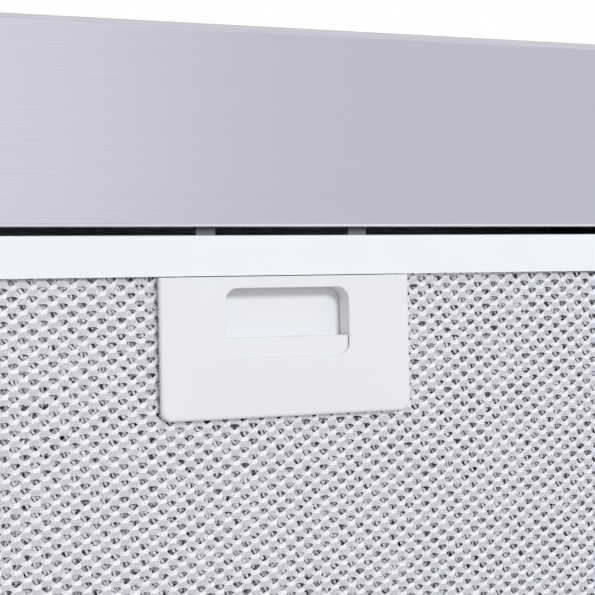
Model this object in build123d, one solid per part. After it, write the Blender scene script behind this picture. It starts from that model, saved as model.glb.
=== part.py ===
from build123d import *
import math
import os

# Under cabinet range hood. Millimetres, +Z up, front towards -Y, width along X.
# The origin is the centre of the flat top face, which is screwed under a wall cabinet.

# ---------------------------------------------------------------- driving dimensions
# Shell
hood_width = 759.0
hood_depth = 500.0
hood_height = 130.0
top_depth = 330.0           # flat top that meets the cabinet
face_height = 55.0          # upright front face that carries the push buttons
strip_depth = 52.7          # front strip of the underside, in front of the filters
hem_depth = 9.0             # edge beside the filters, folded back on itself
sheet = 1.0
bend_radius = 1.0           # radius inside each bend
lap = 16.0                  # front panel's lap under the top panel
flange = 12.0               # turned-down edges of the top panel
deck_drop = 1.5             # pressed-down deck of the top panel, which carries duct and blower
deck_margin = 4.0

# Hanging screws
mount_spacing_x = 620.0
mount_spacing_y = 200.0
mount_hole_radius = 3.0

# Filters
filter_width = 315.0
filter_depth = 310.0
filter_height = 9.5
rail_width = 10.5           # visible width of the folded frame
frame_sheet = 0.8
frame_bend = 0.9            # radius outside each bend of the frame
front_slot = 2.1            # slot between the strip and the filter's front rail
side_gap = 2.0
rear_gap = 2.0
bar_width = 22.0            # centre bar between the filters
bar_height = 9.0
face_mesh_thickness = 1.6
back_mesh_thickness = 1.2
mesh_clearance = 0.1
tab_width = 24.0
tab_reach = 8.0             # how far the rear tabs lie on the rear pan
tab_spacing = 190.0
tab_clearance = 0.2

# Filter latch, measured from the filter's front edge and up from its outer face
plate_width = 70.5
plate_depth = 37.0
plate_proud = 0.6
plate_flange = 1.4
plate_corner = 3.0
plate_seam = 0.25           # gap between the plate and the rail
plate_round = 0.9           # rounded rim of the plate
seam_round = 0.2
recess_width = 34.8
recess_depth = 18.2
recess_margin = 3.3         # plate between the rail and the recess
recess_corner = 3.4
pocket_depth = 12.8         # room for a fingertip in front of the lip
pocket_height = 6.5         # from the plate's face to the slider
lip_sunk = 0.9              # lip's face below the plate's face
lip_round = 0.5
lip_lap = 0.6               # lip's rear edge behind the plate
floor_gap = 0.35            # recess walls to the slider's floor
mouth_round = 0.3
hood_skin = 0.7             # plate's thickness where the lip slides behind it
latch_travel = 4.0
slide_clearance = 0.2
slider_thickness = 1.4
housing_wall = 2.0
web_thickness = 1.4         # step between a tongue and the slider's floor
housing_margin = 1.8        # flange beyond the housing at its rear end
housing_shoulder = 1.2      # mesh cut-out beyond the housing
tongue_width = 5.2
tongue_spacing = 43.0
tongue_bite = 3.0           # tongue above the strip's hem
tongue_shoulder = 0.6       # slider beyond the tongues at each side
cover_thickness = 1.0
cover_window_width = 10.0
cover_window_length = 18.0
cover_window_start = 4.0
spring_radius = 2.0
spring_wire = 0.6
spring_turns = 5
spring_clearance = 0.25

# Blower
wheel_radius = 42.0
wheel_inner_radius = 34.0
wheel_gap = 2.0             # casing to the wheel's disc
wheel_end_gap = 8.6         # wheel's end ring to the casing, past the inlet
blade_count = 32
blade_thickness = 0.9
disc_thickness = 1.4
ring_thickness = 2.4
ring_proud = 1.0            # end ring beyond the blades
hub_radius = 9.0
hub_length = 14.0
shaft_radius = 4.0
shaft_clearance = 0.05      # radial, in the motor's bosses and the wheels' hubs
strap_clearance = 0.05      # radial, under the motor's and the capacitor's strap
scroll_start_radius = 47.0
scroll_end_radius = 60.0
scroll_start_angle = 15.0   # cut-off, forward of straight up
scroll_steps = 8
casing_wall = 1.2
casing_foot = 12.0
casing_above_pan = 3.0
inlet_radius = 35.0
inlet_lip = 4.0
motor_radius = 36.0
motor_length = 52.0
motor_boss_radius = 13.0
motor_boss = 3.5
motor_bell = 9.0            # taper of each end bell
motor_gap = 4.0             # motor's boss to the casing
vent_count = 10
vent_width = 4.4
vent_inner_radius = 17.0
vent_outer_radius = 25.0
vent_depth = 4.0
bracket_width = 24.0
bracket_sheet = 1.5
bracket_foot = 14.0
bracket_screw_spacing = 12.0
casing_screw_spacing = 60.0

# Duct
duct_width = 251.0          # 3 1/4 x 10 inch collar, outside
duct_depth = 80.0
duct_height = 40.0
duct_wall = 1.0
duct_corner = 5.0
duct_from_wall = 8.0
duct_flange = 12.0
ledge_height = 4.0
ledge_width = 2.0
flap_thickness = 1.0
flap_gap = 0.6
flap_rest_gap = 0.3
pin_radius = 1.5
pin_clearance = 0.08
knuckle_radius = 2.6
collar_screw_spacing = 48.0

# Lamps
lamp_from_side = 129.5
lamp_hole_radius = 29.0
lamp_rim = 4.0
lamp_rim_thickness = 1.2
lamp_cup_height = 16.0
lamp_wall = 1.2
lens_thickness = 2.4
lens_dome = 1.0
board_thickness = 1.6
lamp_roof = 4.0             # lamp cup above its board
led_width = 3.4
led_height = 0.8
fit_gap = 0.2

# Controls
button_names = ("off", "low", "medium", "high", "light")
button_pitch = 26.0
button_width = 17.0
button_height = 11.0
button_proud = 3.5
button_travel = 2.5
button_gap = 0.3
button_corner = 2.0
bezel_margin = 9.0
bezel_thickness = 1.6
bezel_wall = 1.5
switch_box_depth = 26.0
switch_box_margin = 4.0

# Wiring parts
box_width = 84.0
box_depth = 62.0
box_height = 44.0
box_from_side = 8.0
box_from_wall = 6.0
box_screw_inset = 6.0
lug_depth = 11.0
lug_width = 14.0
gland_bore_radius = 5.0
gland_radius = 9.0
gland_length = 22.0
gland_flange_radius = 13.0
gland_flange = 3.0
terminal_size = (34.0, 16.0, 13.0)
capacitor_radius = 14.0
capacitor_length = 48.0
capacitor_from_deck = 48.5
capacitor_drop = 2.0        # clip's strap below its foot
terminal_length = 8.0
terminal_width = 6.0
terminal_thickness = 0.8
clip_sheet = 1.0
clip_width = 14.0
clip_foot = 12.0
clip_screw_from_can = 6.0

# Screws
screw_radius = 1.9
screw_head_radius = 3.6
screw_head_height = 1.8
screw_length = 6.0
screw_gap = 0.05

# ---------------------------------------------------------------- places worked out
back_y = top_depth / 2
top_front_y = -top_depth / 2
front_y = back_y - hood_depth
bottom_z = -hood_height
face_top_z = bottom_z + face_height
half_width = hood_width / 2
inner_x = half_width - sheet
strip_rear_y = front_y + strip_depth
filter_front_y = strip_rear_y + front_slot
pan_front_y = filter_front_y + filter_depth + rear_gap
filter_x = bar_width / 2 + side_gap + filter_width / 2
ledge_x = filter_x + filter_width / 2 + side_gap

deck_z = -deck_drop
deck_under_z = deck_z - sheet
duct_rear_y = back_y - duct_from_wall
duct_y = duct_rear_y - duct_depth / 2
axis_y = duct_rear_y - duct_wall - scroll_end_radius
scroll_low_radius = scroll_start_radius + (scroll_end_radius - scroll_start_radius) * (
    180 - scroll_start_angle) / (270 - scroll_start_angle)
axis_z = bottom_z + sheet + casing_above_pan + scroll_low_radius + casing_wall
casing_outer_x = duct_width / 2 - duct_wall
casing_inner_x = motor_length / 2 + motor_boss + motor_gap
wheel_start_x = casing_inner_x + casing_wall + wheel_gap
wheel_length = casing_outer_x - casing_wall - wheel_end_gap - wheel_start_x
deck_half_x = duct_width / 2 + duct_flange + deck_margin
deck_front_y = axis_y - motor_radius - bracket_sheet - bracket_foot - deck_margin
deck_rear_y = back_y - deck_margin
lamp_x = half_width - lamp_from_side
lamp_y = (pan_front_y + back_y) / 2
capacitor_x = deck_half_x + capacitor_from_deck
button_z = (bottom_z + face_top_z) / 2

slider_width = tongue_spacing + tongue_width + 2 * tongue_shoulder
housing_width = slider_width + 2 * (slide_clearance + housing_wall)
rail_v = rail_width
plate_face_w = -plate_proud
flange_top_w = plate_face_w + plate_flange
recess_v = rail_v + recess_margin
recess_end_v = recess_v + recess_depth
lip_v = recess_v + pocket_depth
slider_w = plate_face_w + pocket_height
housing_top_w = slider_w - floor_gap
housing_end_v = rail_v + plate_depth - housing_margin
lip_end_v = recess_end_v + lip_lap
relief_end_v = lip_end_v + latch_travel + slide_clearance
spring_w = (flange_top_w + housing_top_w) / 2
spring_end_v = housing_end_v - 1.6
notch_half = housing_width / 2 + housing_shoulder
tongue_w = 2 * sheet + slide_clearance
tongue_tip_v = -(front_slot + tongue_bite)
web_v = rail_width - web_thickness

side_plane = Plane(origin=(0, 0, 0), x_dir=(0, 1, 0), z_dir=(1, 0, 0))


# ---------------------------------------------------------------- helpers
def block(x0, x1, y0, y1, z0, z1):
    """A box between two corners."""
    middle = Pos((x0 + x1) / 2, (y0 + y1) / 2, (z0 + z1) / 2)
    return middle * Box(x1 - x0, y1 - y0, z1 - z0)


def side_extrude(profile, x0, x1):
    """Extrude a side-view profile, drawn as (y, z), from x0 to x1."""
    return extrude(Pos(x0, 0, 0) * (side_plane * profile), x1 - x0)


def folded_sheet(points, x0, x1, side):
    """A sheet bent along (y, z) points, which give its outer face, with rounded bends."""
    line = FilletPolyline(*points, radius=bend_radius + sheet)
    outline = line.offset_2d(sheet, side=side, closed=True)
    return side_extrude(make_face(outline), x0, x1)


def hem(edge_y, inward, x0, x1):
    """An edge folded back on itself, its round nose at edge_y; inward (1 or -1) is the sheet's side."""
    nose_y = edge_y + inward * sheet
    middle_y = nose_y + inward * (hem_depth - sheet) / 2
    profile = Pos(nose_y, bottom_z + sheet) * Circle(sheet)
    profile += Pos(middle_y, bottom_z + sheet) * Rectangle(hem_depth - sheet, 2 * sheet)
    return side_extrude(profile, x0, x1)


def upright(x, y, z, radius, length):
    """A vertical cylinder that starts at z."""
    return Pos(x, y, z + length / 2) * Cylinder(radius, length)


def along_x(x0, x1, y, z, radius):
    """A cylinder along X."""
    return Pos((x0 + x1) / 2, y, z) * Rot(0, 90, 0) * Cylinder(radius, x1 - x0)


def rounded_block(width, depth, corner, x, y, z0, z1):
    """A block with rounded upright edges."""
    return extrude(Pos(x, y, z0) * RectangleRounded(width, depth, corner), z1 - z0)


def mirrored(part):
    """The same piece on the other side of the hood."""
    return mirror(part, about=Plane.YZ)


def hanging_screw(x, y, head_z, tip_z):
    """A pan head screw driven upwards from head_z, where its head bears, to tip_z."""
    head = upright(x, y, head_z - screw_head_height, screw_head_radius, screw_head_height)
    head = chamfer(head.faces().sort_by(Axis.Z)[0].edges(), screw_head_height * 0.4)
    return head + upright(x, y, head_z, screw_radius, tip_z - head_z)


def standing_screw(x, y, head_z, tip_z):
    """The same screw driven downwards."""
    return Rot(180, 0, 0) * hanging_screw(x, -y, -head_z, -tip_z)


def screw_holes(places, z0, z1):
    """Clearance holes for screws."""
    holes = Part()
    for x, y in places:
        holes += upright(x, y, z0, screw_radius + screw_gap, z1 - z0)
    return holes


# ---------------------------------------------------------------- shell
def shell_side_points():
    """Side view of the hood, as (y, z)."""
    return [(back_y, bottom_z), (front_y, bottom_z), (front_y, face_top_z),
            (top_front_y, 0), (back_y, 0)]


def make_side_panel():
    """Right side panel: an upright plate with a turned-in ledge under the filter's edge."""
    plate = side_extrude(make_face(Polyline(*shell_side_points(), close=True)), inner_x, half_width)
    ledge = block(ledge_x, inner_x, strip_rear_y, pan_front_y, bottom_z, bottom_z + sheet)
    turned_up = block(ledge_x, ledge_x + sheet, strip_rear_y, pan_front_y, bottom_z, bottom_z + bar_height)
    panel = plate + ledge + turned_up
    edge = panel.edges().filter_by(Axis.Y).group_by(Axis.Z)[0].sort_by(Axis.X)[0]
    return fillet(edge, sheet * 0.8)


def bezel_size():
    """Outside width and height of the button bezel."""
    count = len(button_names)
    width = button_pitch * (count - 1) + button_width + 2 * bezel_margin
    return width, button_height + 2 * bezel_margin


def bezel_hole_size():
    """Opening in the front face behind the bezel."""
    width, height = bezel_size()
    return width - 2 * bezel_wall - 4, height - 2 * bezel_wall - 4


def make_front_panel():
    """Folded front: hemmed bottom strip, upright face, slope and lap under the top."""
    points = [
        (strip_rear_y - sheet, bottom_z),
        (front_y, bottom_z),
        (front_y, face_top_z),
        (top_front_y, -sheet),
        (top_front_y + lap, -sheet),
    ]
    panel = folded_sheet(points, -inner_x, inner_x, Side.RIGHT)
    panel += hem(strip_rear_y, -1, -inner_x, inner_x)
    width, height = bezel_hole_size()
    return panel - block(-width / 2, width / 2, front_y - 1, front_y + sheet + 1,
                         button_z - height / 2, button_z + height / 2)


def outlet_limits():
    """Front and rear of the air way through the top panel."""
    return duct_y - duct_depth / 2 + duct_wall, duct_rear_y - duct_wall


def bracket_screw_places():
    reach = motor_radius + bracket_sheet + bracket_foot / 2
    step = bracket_screw_spacing / 2
    return [(x, axis_y + side * reach) for x in (-step, step) for side in (-1, 1)]


def casing_screw_places():
    y = outlet_limits()[0] - casing_wall - casing_foot / 2
    middle = (casing_inner_x + casing_outer_x) / 2
    reach = casing_screw_spacing / 2
    return [(side * (middle + step), y) for side in (-1, 1) for step in (-reach, reach)]


def collar_screw_places():
    reach_x = duct_width / 2 + duct_flange / 2
    reach_y = collar_screw_spacing / 2
    return [(side * reach_x, duct_y + step) for side in (-1, 1) for step in (-reach_y, reach_y)]


def box_centre():
    """Centre of the junction box, and so of the cable gland."""
    return inner_x - box_from_side - box_width / 2, back_y - box_from_wall - box_depth / 2


def box_screw_places():
    x, y = box_centre()
    reach = box_width / 2 - box_screw_inset
    return [(x - reach, y), (x + reach, y)]


def deck_block(margin, z0, z1):
    """A block with the deck's outline, grown by a margin."""
    corner = duct_corner + margin
    return rounded_block(2 * (deck_half_x + margin), deck_rear_y - deck_front_y + 2 * margin, corner,
                         0, (deck_front_y + deck_rear_y) / 2, z0, z1)


def make_top_panel():
    """Top sheet with turned-down sides, a pressed deck, air ways, hanging holes and the cable entry."""
    panel = block(-inner_x, inner_x, top_front_y, back_y, -sheet, 0)
    for side in (-1, 1):
        edge = side * (inner_x - sheet / 2)
        panel += Pos(edge, 0, -flange / 2) * Box(sheet, top_depth - 2 * lap, flange)
    panel += deck_block(sheet, deck_under_z, -sheet)
    panel -= deck_block(0, deck_z, sheet)
    low, high = outlet_limits()
    for side in (-1, 1):
        x0, x1 = sorted((side * (casing_inner_x + casing_wall), side * (casing_outer_x - casing_wall)))
        panel -= block(x0, x1, low, high, deck_under_z - 1, sheet)
    for x in (-mount_spacing_x / 2, mount_spacing_x / 2):
        for y in (-mount_spacing_y / 2, mount_spacing_y / 2):
            panel -= upright(x, y, -2 * sheet, mount_hole_radius, 3 * sheet)
    x, y = box_centre()
    panel -= upright(x, y, -2 * sheet, gland_flange_radius + fit_gap, 3 * sheet)
    holes = bracket_screw_places() + casing_screw_places() + collar_screw_places() + clip_screw_places()
    return panel - screw_holes(holes, deck_under_z - 1, sheet)


def make_back_panel():
    """Back sheet with a rectangular knock-out for rear discharge, held by small bridges."""
    panel = block(-inner_x, inner_x, back_y - sheet, back_y, bottom_z + sheet, -sheet)
    slit = 0.8
    bridge = 8.0
    high = -duct_flange - flange
    low = high - duct_depth
    half = duct_width / 2
    for z in (low, high):
        for x0, x1 in ((-half, -bridge / 2), (bridge / 2, half)):
            panel -= block(x0, x1, back_y - 2 * sheet, back_y + sheet, z - slit / 2, z + slit / 2)
    for x in (-half, half):
        for z0, z1 in ((low + bridge / 2, (low + high - bridge) / 2),
                       ((low + high + bridge) / 2, high - bridge / 2)):
            panel -= block(x - slit / 2, x + slit / 2, back_y - 2 * sheet, back_y + sheet, z0, z1)
    return panel


def make_rear_pan():
    """Rear strip of the underside, which carries the lamps and the filters' rear tabs."""
    pan = block(-inner_x, inner_x, pan_front_y + sheet, back_y, bottom_z, bottom_z + sheet)
    pan += hem(pan_front_y, 1, -inner_x, inner_x)
    for side in (-1, 1):
        pan -= upright(side * lamp_x, lamp_y, bottom_z - 1, lamp_hole_radius, sheet + 2)
    return pan


def make_centre_bar():
    """Channel between the two filters."""
    half = bar_width / 2
    outer = block(-half, half, strip_rear_y, pan_front_y, bottom_z, bottom_z + bar_height)
    outer = fillet(outer.edges().filter_by(Axis.Y).group_by(Axis.Z)[0], bend_radius)
    inner = block(-half + sheet, half - sheet, strip_rear_y, pan_front_y, bottom_z + sheet,
                  bottom_z + 2 * bar_height)
    return outer - inner


# ---------------------------------------------------------------- filter
# Filter pieces are drawn as (u, v, w): u from the filter's middle, v back from its front
# edge and w up from its outer face.
def filter_block(u0, u1, v0, v1, w0, w1):
    return block(filter_x + u0, filter_x + u1, filter_front_y + v0, filter_front_y + v1,
                 bottom_z + w0, bottom_z + w1)


def make_filter_frame():
    """Folded channel round the mesh, with two tongue slots in front and two rear tabs."""
    half = filter_width / 2
    frame = filter_block(-half, half, 0, filter_depth, 0, filter_height)
    frame = fillet(frame.edges().filter_by(Axis.Z), 1.5)
    rims = frame.faces().sort_by(Axis.Z)[0].edges() + frame.faces().sort_by(Axis.Z)[-1].edges()
    frame = fillet(rims, frame_bend)
    window = half - rail_width
    frame -= filter_block(-window, window, rail_width, filter_depth - rail_width, -1, filter_height + 1)
    groove = half - frame_sheet
    frame -= filter_block(-groove, groove, frame_sheet, filter_depth - frame_sheet, frame_sheet,
                          filter_height - frame_sheet)
    for side in (-1, 1):
        u = side * tongue_spacing / 2
        reach = tongue_width / 2 + slide_clearance
        frame -= filter_block(u - reach, u + reach, -1, 2 * frame_sheet, tongue_w - slide_clearance,
                              tongue_w + slider_thickness + slide_clearance)
        u = side * tab_spacing / 2
        low = 2 * sheet + tab_clearance
        frame += filter_block(u - tab_width / 2, u + tab_width / 2, filter_depth - frame_sheet,
                              filter_depth + rear_gap + tab_reach, low, low + sheet)
    return frame


def mesh_layer(w0, w1):
    """One layer of the mesh pack, notched round the latch."""
    half = filter_width / 2 - frame_sheet - mesh_clearance
    v0 = frame_sheet + mesh_clearance
    layer = filter_block(-half, half, v0, filter_depth - v0, w0, w1)
    return layer - filter_block(-notch_half, notch_half, -1, housing_end_v + housing_shoulder, w0 - 1, w1 + 1)


def make_latch_plate():
    """White moulding: flange on the mesh, finger recess, walls and the spring's pocket."""
    half = plate_width / 2
    front = rail_v + plate_seam
    flange_plate = filter_block(-half, half, front, rail_v + plate_depth, plate_face_w, flange_top_w)
    rear_corners = flange_plate.edges().filter_by(Axis.Z).group_by(Axis.Y)[-1]
    flange_plate = fillet(rear_corners, plate_corner)
    rim = flange_plate.faces().sort_by(Axis.Z)[0].edges()
    seam_y = filter_front_y + front + plate_round
    flange_plate = fillet([e for e in rim if e.center().Y > seam_y], plate_round)
    rim = flange_plate.faces().sort_by(Axis.Z)[0].edges()
    flange_plate = fillet(rim.sort_by(Axis.Y)[0], seam_round)
    wide = housing_width / 2
    housing = filter_block(-wide, wide, rail_v + frame_sheet, housing_end_v, flange_top_w, housing_top_w)
    moulding = flange_plate + housing
    recess = rounded_block(recess_width, recess_depth, recess_corner, filter_x,
                           filter_front_y + recess_v + recess_depth / 2,
                           bottom_z + plate_face_w - 1, bottom_z + housing_top_w + 1)
    moulding -= recess
    mouth = moulding.faces().sort_by(Axis.Z)[0].inner_wires()[0].edges()
    moulding = fillet(mouth, mouth_round)
    for side in (-1, 1):
        u = side * tongue_spacing / 2
        reach = tongue_width / 2 + slide_clearance
        moulding -= filter_block(u - reach, u + reach, rail_v - 1, rail_v + latch_travel + slide_clearance,
                                 flange_top_w, housing_top_w + 1)
    relief = recess_width / 2
    moulding -= filter_block(-relief, relief, lip_v, relief_end_v, plate_face_w + hood_skin,
                             housing_top_w + 1)
    pocket = Pos(filter_x, filter_front_y + (relief_end_v + spring_end_v) / 2, bottom_z + spring_w)
    pocket *= Rot(90, 0, 0)
    return moulding - pocket * Cylinder(spring_radius + spring_clearance, spring_end_v - relief_end_v + 0.2)


def make_latch_cover():
    """Rear half of the latch housing, which keeps the slider in its channel."""
    wide = housing_width / 2
    low = housing_top_w
    base = slider_w + slider_thickness + slide_clearance
    front = rail_v + frame_sheet
    cover = filter_block(-wide, wide, front, housing_end_v, low, base + cover_thickness)
    channel = slider_width / 2 + slide_clearance
    cover -= filter_block(-channel, channel, front - 1, housing_end_v - housing_wall, low - 1, base)
    for side in (-1, 1):
        u0 = side * slider_width / 4 - cover_window_width / 2
        v0 = front + cover_window_start
        cover -= filter_block(u0, u0 + cover_window_width, v0, v0 + cover_window_length, base - 1,
                              base + 2 * cover_thickness)
    return cover


def make_latch_slider():
    """Slider: floor of the recess, finger lip and two tongues."""
    top = slider_w + slider_thickness
    half = slider_width / 2
    rear = recess_end_v + 1.0
    floor = filter_block(-half, half, rail_v + frame_sheet, rear, slider_w, top)
    slider = floor
    for side in (-1, 1):
        low = side * tongue_spacing / 2 - tongue_width / 2
        high = low + tongue_width
        tongue = filter_block(low, high, tongue_tip_v, rail_v, tongue_w, tongue_w + slider_thickness)
        tip = tongue.edges().filter_by(Axis.X).group_by(Axis.Y)[0].sort_by(Axis.Z)[-1]
        slider += chamfer(tip, slider_thickness * 0.6)
        slider += filter_block(low, high, web_v, rail_v, tongue_w, top)
        slider += filter_block(low, high, web_v, rail_v + 2 * frame_sheet, slider_w, top)
    gap = slide_clearance
    reach = recess_width / 2 - gap
    lip = filter_block(-reach, reach, lip_v, lip_end_v, plate_face_w + lip_sunk, slider_w)
    rim = lip.faces().sort_by(Axis.Z)[0].edges()
    return slider + fillet(rim.sort_by(Axis.Y)[0], lip_round)


def make_latch_spring():
    """Compression spring between the lip and the end of its pocket."""
    start = lip_end_v
    length = spring_end_v - start - spring_wire
    path = Helix(pitch=length / spring_turns, height=length, radius=spring_radius - spring_wire / 2)
    section = Plane(origin=path @ 0, z_dir=path % 0) * RegularPolygon(spring_wire / 2, 6)
    coil = sweep(section, path=path, is_frenet=True)
    place = Pos(filter_x, filter_front_y + start + spring_wire / 2, bottom_z + spring_w)
    return place * Rot(-90, 0, 0) * coil


# ---------------------------------------------------------------- blower
def scroll_face(inset, top_z):
    """Side view of the scroll casing, with its walls moved in by inset, open at top_z."""
    def at(angle):
        share = (angle - scroll_start_angle) / (270 - scroll_start_angle)
        radius = scroll_start_radius + (scroll_end_radius - scroll_start_radius) * share - inset
        turn = math.radians(angle)
        return axis_y - radius * math.sin(turn), axis_z + radius * math.cos(turn)

    sweep_angle = 270 - scroll_start_angle
    points = [at(scroll_start_angle + sweep_angle * i / scroll_steps) for i in range(scroll_steps + 1)]
    low = outlet_limits()[0]
    rear_y = points[-1][0]
    corners = Polyline(points[-1], (rear_y, top_z), (low - casing_wall + inset, top_z), points[0])
    return make_face(Spline(*points) + corners)


def make_casing():
    """Right scroll casing: spiral wall, side plates, inlet mouth and a foot under the deck."""
    top = deck_under_z
    x0 = casing_inner_x
    x1 = casing_outer_x
    casing = side_extrude(scroll_face(-casing_wall + duct_wall, top), x0, x1)
    low = outlet_limits()[0] - casing_wall
    casing += block(x0, x1, low - casing_foot, low + 1, top - 2 * casing_wall, top)
    casing -= side_extrude(scroll_face(duct_wall, top + 5), x0 + casing_wall, x1 - casing_wall)
    casing -= along_x(x1 - 2 * casing_wall, x1 + 1, axis_y, axis_z, inlet_radius)
    casing -= along_x(x0 - 1, x0 + 2 * casing_wall, axis_y, axis_z, hub_radius + 3)
    mouth = along_x(x1, x1 + inlet_lip, axis_y, axis_z, inlet_radius + 5)
    mouth = fillet(mouth.faces().sort_by(Axis.X)[-1].edges(), inlet_lip * 0.7)
    casing += mouth - along_x(x1 - 1, x1 + inlet_lip + 1, axis_y, axis_z, inlet_radius)
    places = [place for place in casing_screw_places() if place[0] > 0]
    return casing - screw_holes(places, top - 4 * casing_wall, top + 1)


def blade_section():
    """Forward-curved blade, as a thin curved strip between the inner and outer radius."""
    def at(radius, degrees):
        turn = math.radians(degrees)
        return radius * math.cos(turn), radius * math.sin(turn)

    lead = 9.0
    middle = (wheel_inner_radius + wheel_radius) / 2
    thick = math.degrees(blade_thickness / middle)
    hollow = ThreePointArc(at(wheel_inner_radius, 0), at(middle, lead * 0.2), at(wheel_radius, lead))
    crown = ThreePointArc(at(wheel_inner_radius, thick), at(middle, lead * 0.2 + thick),
                          at(wheel_radius, lead + thick))
    ends = Line(hollow @ 0, crown @ 0) + Line(hollow @ 1, crown @ 1)
    return make_face(hollow + crown + ends)


def make_wheel():
    """Right squirrel cage wheel: curved blades between a hub disc and an end ring."""
    blade = blade_section()
    cage = Sketch() + [Rot(0, 0, 360 / blade_count * i) * blade for i in range(blade_count)]
    place = Plane(origin=(wheel_start_x, axis_y, axis_z), x_dir=(0, 1, 0), z_dir=(1, 0, 0))
    wheel = extrude(place * cage, wheel_length)
    disc = extrude(place * Circle(wheel_radius + ring_proud), disc_thickness)
    ring_place = place.offset(wheel_length - ring_thickness)
    rim = Circle(wheel_radius + ring_proud) - Circle(wheel_inner_radius + 3)
    ring = extrude(ring_place * rim, ring_thickness)
    hub = extrude(place * Circle(hub_radius), hub_length)
    wheel = wheel + disc + ring + hub
    return wheel - along_x(wheel_start_x - 1, wheel_start_x + hub_length + 1, axis_y, axis_z,
                           shaft_radius + shaft_clearance)


def make_shaft():
    reach = wheel_start_x + hub_length + 1
    shaft = along_x(-reach, reach, axis_y, axis_z, shaft_radius)
    return chamfer(shaft.edges().filter_by(GeomType.CIRCLE), 0.6)


def make_motor():
    """Motor can with tapered end bells, bearing bosses and cooling slots."""
    half = motor_length / 2
    profile = Polyline(
        (0, shaft_radius + shaft_clearance), (0, motor_radius), (half - motor_bell, motor_radius),
        (half, motor_radius - motor_bell), (half, motor_boss_radius), (half + motor_boss, motor_boss_radius),
        (half + motor_boss, shaft_radius + shaft_clearance), close=True)
    place = Plane(origin=(0, axis_y, axis_z), x_dir=(1, 0, 0), z_dir=(0, -1, 0))
    right = revolve(place * make_face(profile), Axis((0, axis_y, axis_z), (1, 0, 0)))
    slot = block(half - vent_depth, half + 1, axis_y - vent_width / 2, axis_y + vent_width / 2,
                 axis_z + vent_inner_radius, axis_z + vent_outer_radius)
    for i in range(vent_count):
        turned = slot.rotate(Axis((0, axis_y, axis_z), (1, 0, 0)), 360 / vent_count * i)
        right -= turned
    return right + mirrored(right)


def make_bracket():
    """Strap round the motor with two feet under the deck."""
    outer = motor_radius + bracket_sheet
    top = deck_under_z
    ring = Pos(axis_y, axis_z) * Circle(outer)
    profile = ring
    for side in (-1, 1):
        leg_y = axis_y + side * (outer - bracket_sheet / 2)
        profile += Pos(leg_y, (axis_z + top) / 2) * Rectangle(bracket_sheet, top - axis_z)
        foot_y = axis_y + side * (outer + bracket_foot / 2 - bracket_sheet / 2)
        foot = Rectangle(bracket_foot + bracket_sheet, bracket_sheet)
        profile += Pos(foot_y, top - bracket_sheet / 2) * foot
    profile -= Pos(axis_y, axis_z) * Circle(motor_radius + strap_clearance)
    strap = side_extrude(profile, -bracket_width / 2, bracket_width / 2)
    return strap - screw_holes(bracket_screw_places(), top - 3 * bracket_sheet, top + 1)


# ---------------------------------------------------------------- duct collar and damper
def flap_axis():
    """Pivot of the damper flap, as (y, z)."""
    y = duct_rear_y - duct_wall - knuckle_radius - flap_gap
    return y, ledge_height + sheet + flap_rest_gap + flap_thickness / 2


def make_duct_collar():
    """Rectangular collar on a flange, with a ledge that the closed flap rests on."""
    wide = duct_width + 2 * duct_flange
    deep = duct_depth + 2 * duct_flange
    flange_z = deck_z + sheet
    collar = rounded_block(wide, deep, duct_corner, 0, duct_y, deck_z, flange_z)
    collar -= block(-wide, wide, deck_rear_y - fit_gap, duct_y + deep, deck_z - 1, flange_z + 1)
    collar += rounded_block(duct_width, duct_depth, duct_corner, 0, duct_y, deck_z, duct_height)
    inner_width = duct_width - 2 * duct_wall
    inner_depth = duct_depth - 2 * duct_wall
    corner = duct_corner - duct_wall
    collar -= rounded_block(inner_width, inner_depth, corner, 0, duct_y, ledge_height + sheet,
                            duct_height + 1)
    narrow = rounded_block(inner_width - 2 * ledge_width, inner_depth - 2 * ledge_width, corner, 0, duct_y,
                           deck_z - 1, ledge_height + 2 * sheet)
    collar -= narrow
    y, z = flap_axis()
    reach = duct_width / 2 + 1
    collar -= along_x(-reach, reach, y, z, pin_radius + pin_clearance)
    return collar - screw_holes(collar_screw_places(), deck_z - 1, flange_z + 1)


def make_damper_flap():
    """Flap with a rolled knuckle and an end pin at each side."""
    y, z = flap_axis()
    reach = duct_width / 2 - duct_wall - flap_gap
    front = duct_y - duct_depth / 2 + duct_wall + flap_gap
    flap = block(-reach, reach, front, y, z - flap_thickness / 2, z + flap_thickness / 2)
    middle = (front + y) / 2
    rib = block(-reach * 0.8, reach * 0.8, middle - 1, middle + 1, z, z + flap_thickness + 1)
    corners = flap.edges().filter_by(Axis.Z).group_by(Axis.Y)[0]
    flap = fillet(corners, duct_corner - duct_wall)
    flap += rib
    pin_end = duct_width / 2 - 0.1
    knuckle = along_x(-reach, reach, y, z, knuckle_radius * 0.6)
    return flap + knuckle + along_x(-pin_end, pin_end, y, z, pin_radius)


# ---------------------------------------------------------------- lamps
def make_lamp_bezel():
    """Right lamp body: rim under the pan, cup above it."""
    x = lamp_x
    cup_radius = lamp_hole_radius - fit_gap
    rim_z = bottom_z - lamp_rim_thickness
    rim = upright(x, lamp_y, rim_z, lamp_hole_radius + lamp_rim, lamp_rim_thickness)
    rim = fillet(rim.faces().sort_by(Axis.Z)[0].edges(), lamp_rim_thickness * 0.7)
    cup = upright(x, lamp_y, bottom_z - 0.5, cup_radius, lamp_cup_height)
    body = rim + cup
    seat_z = rim_z + lens_thickness
    body -= upright(x, lamp_y, rim_z - 1, cup_radius - lamp_wall, 1 + lens_thickness)
    body -= upright(x, lamp_y, seat_z - 0.1, cup_radius - 2.5 * lamp_wall, lamp_cup_height - lamp_roof)
    return body


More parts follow.
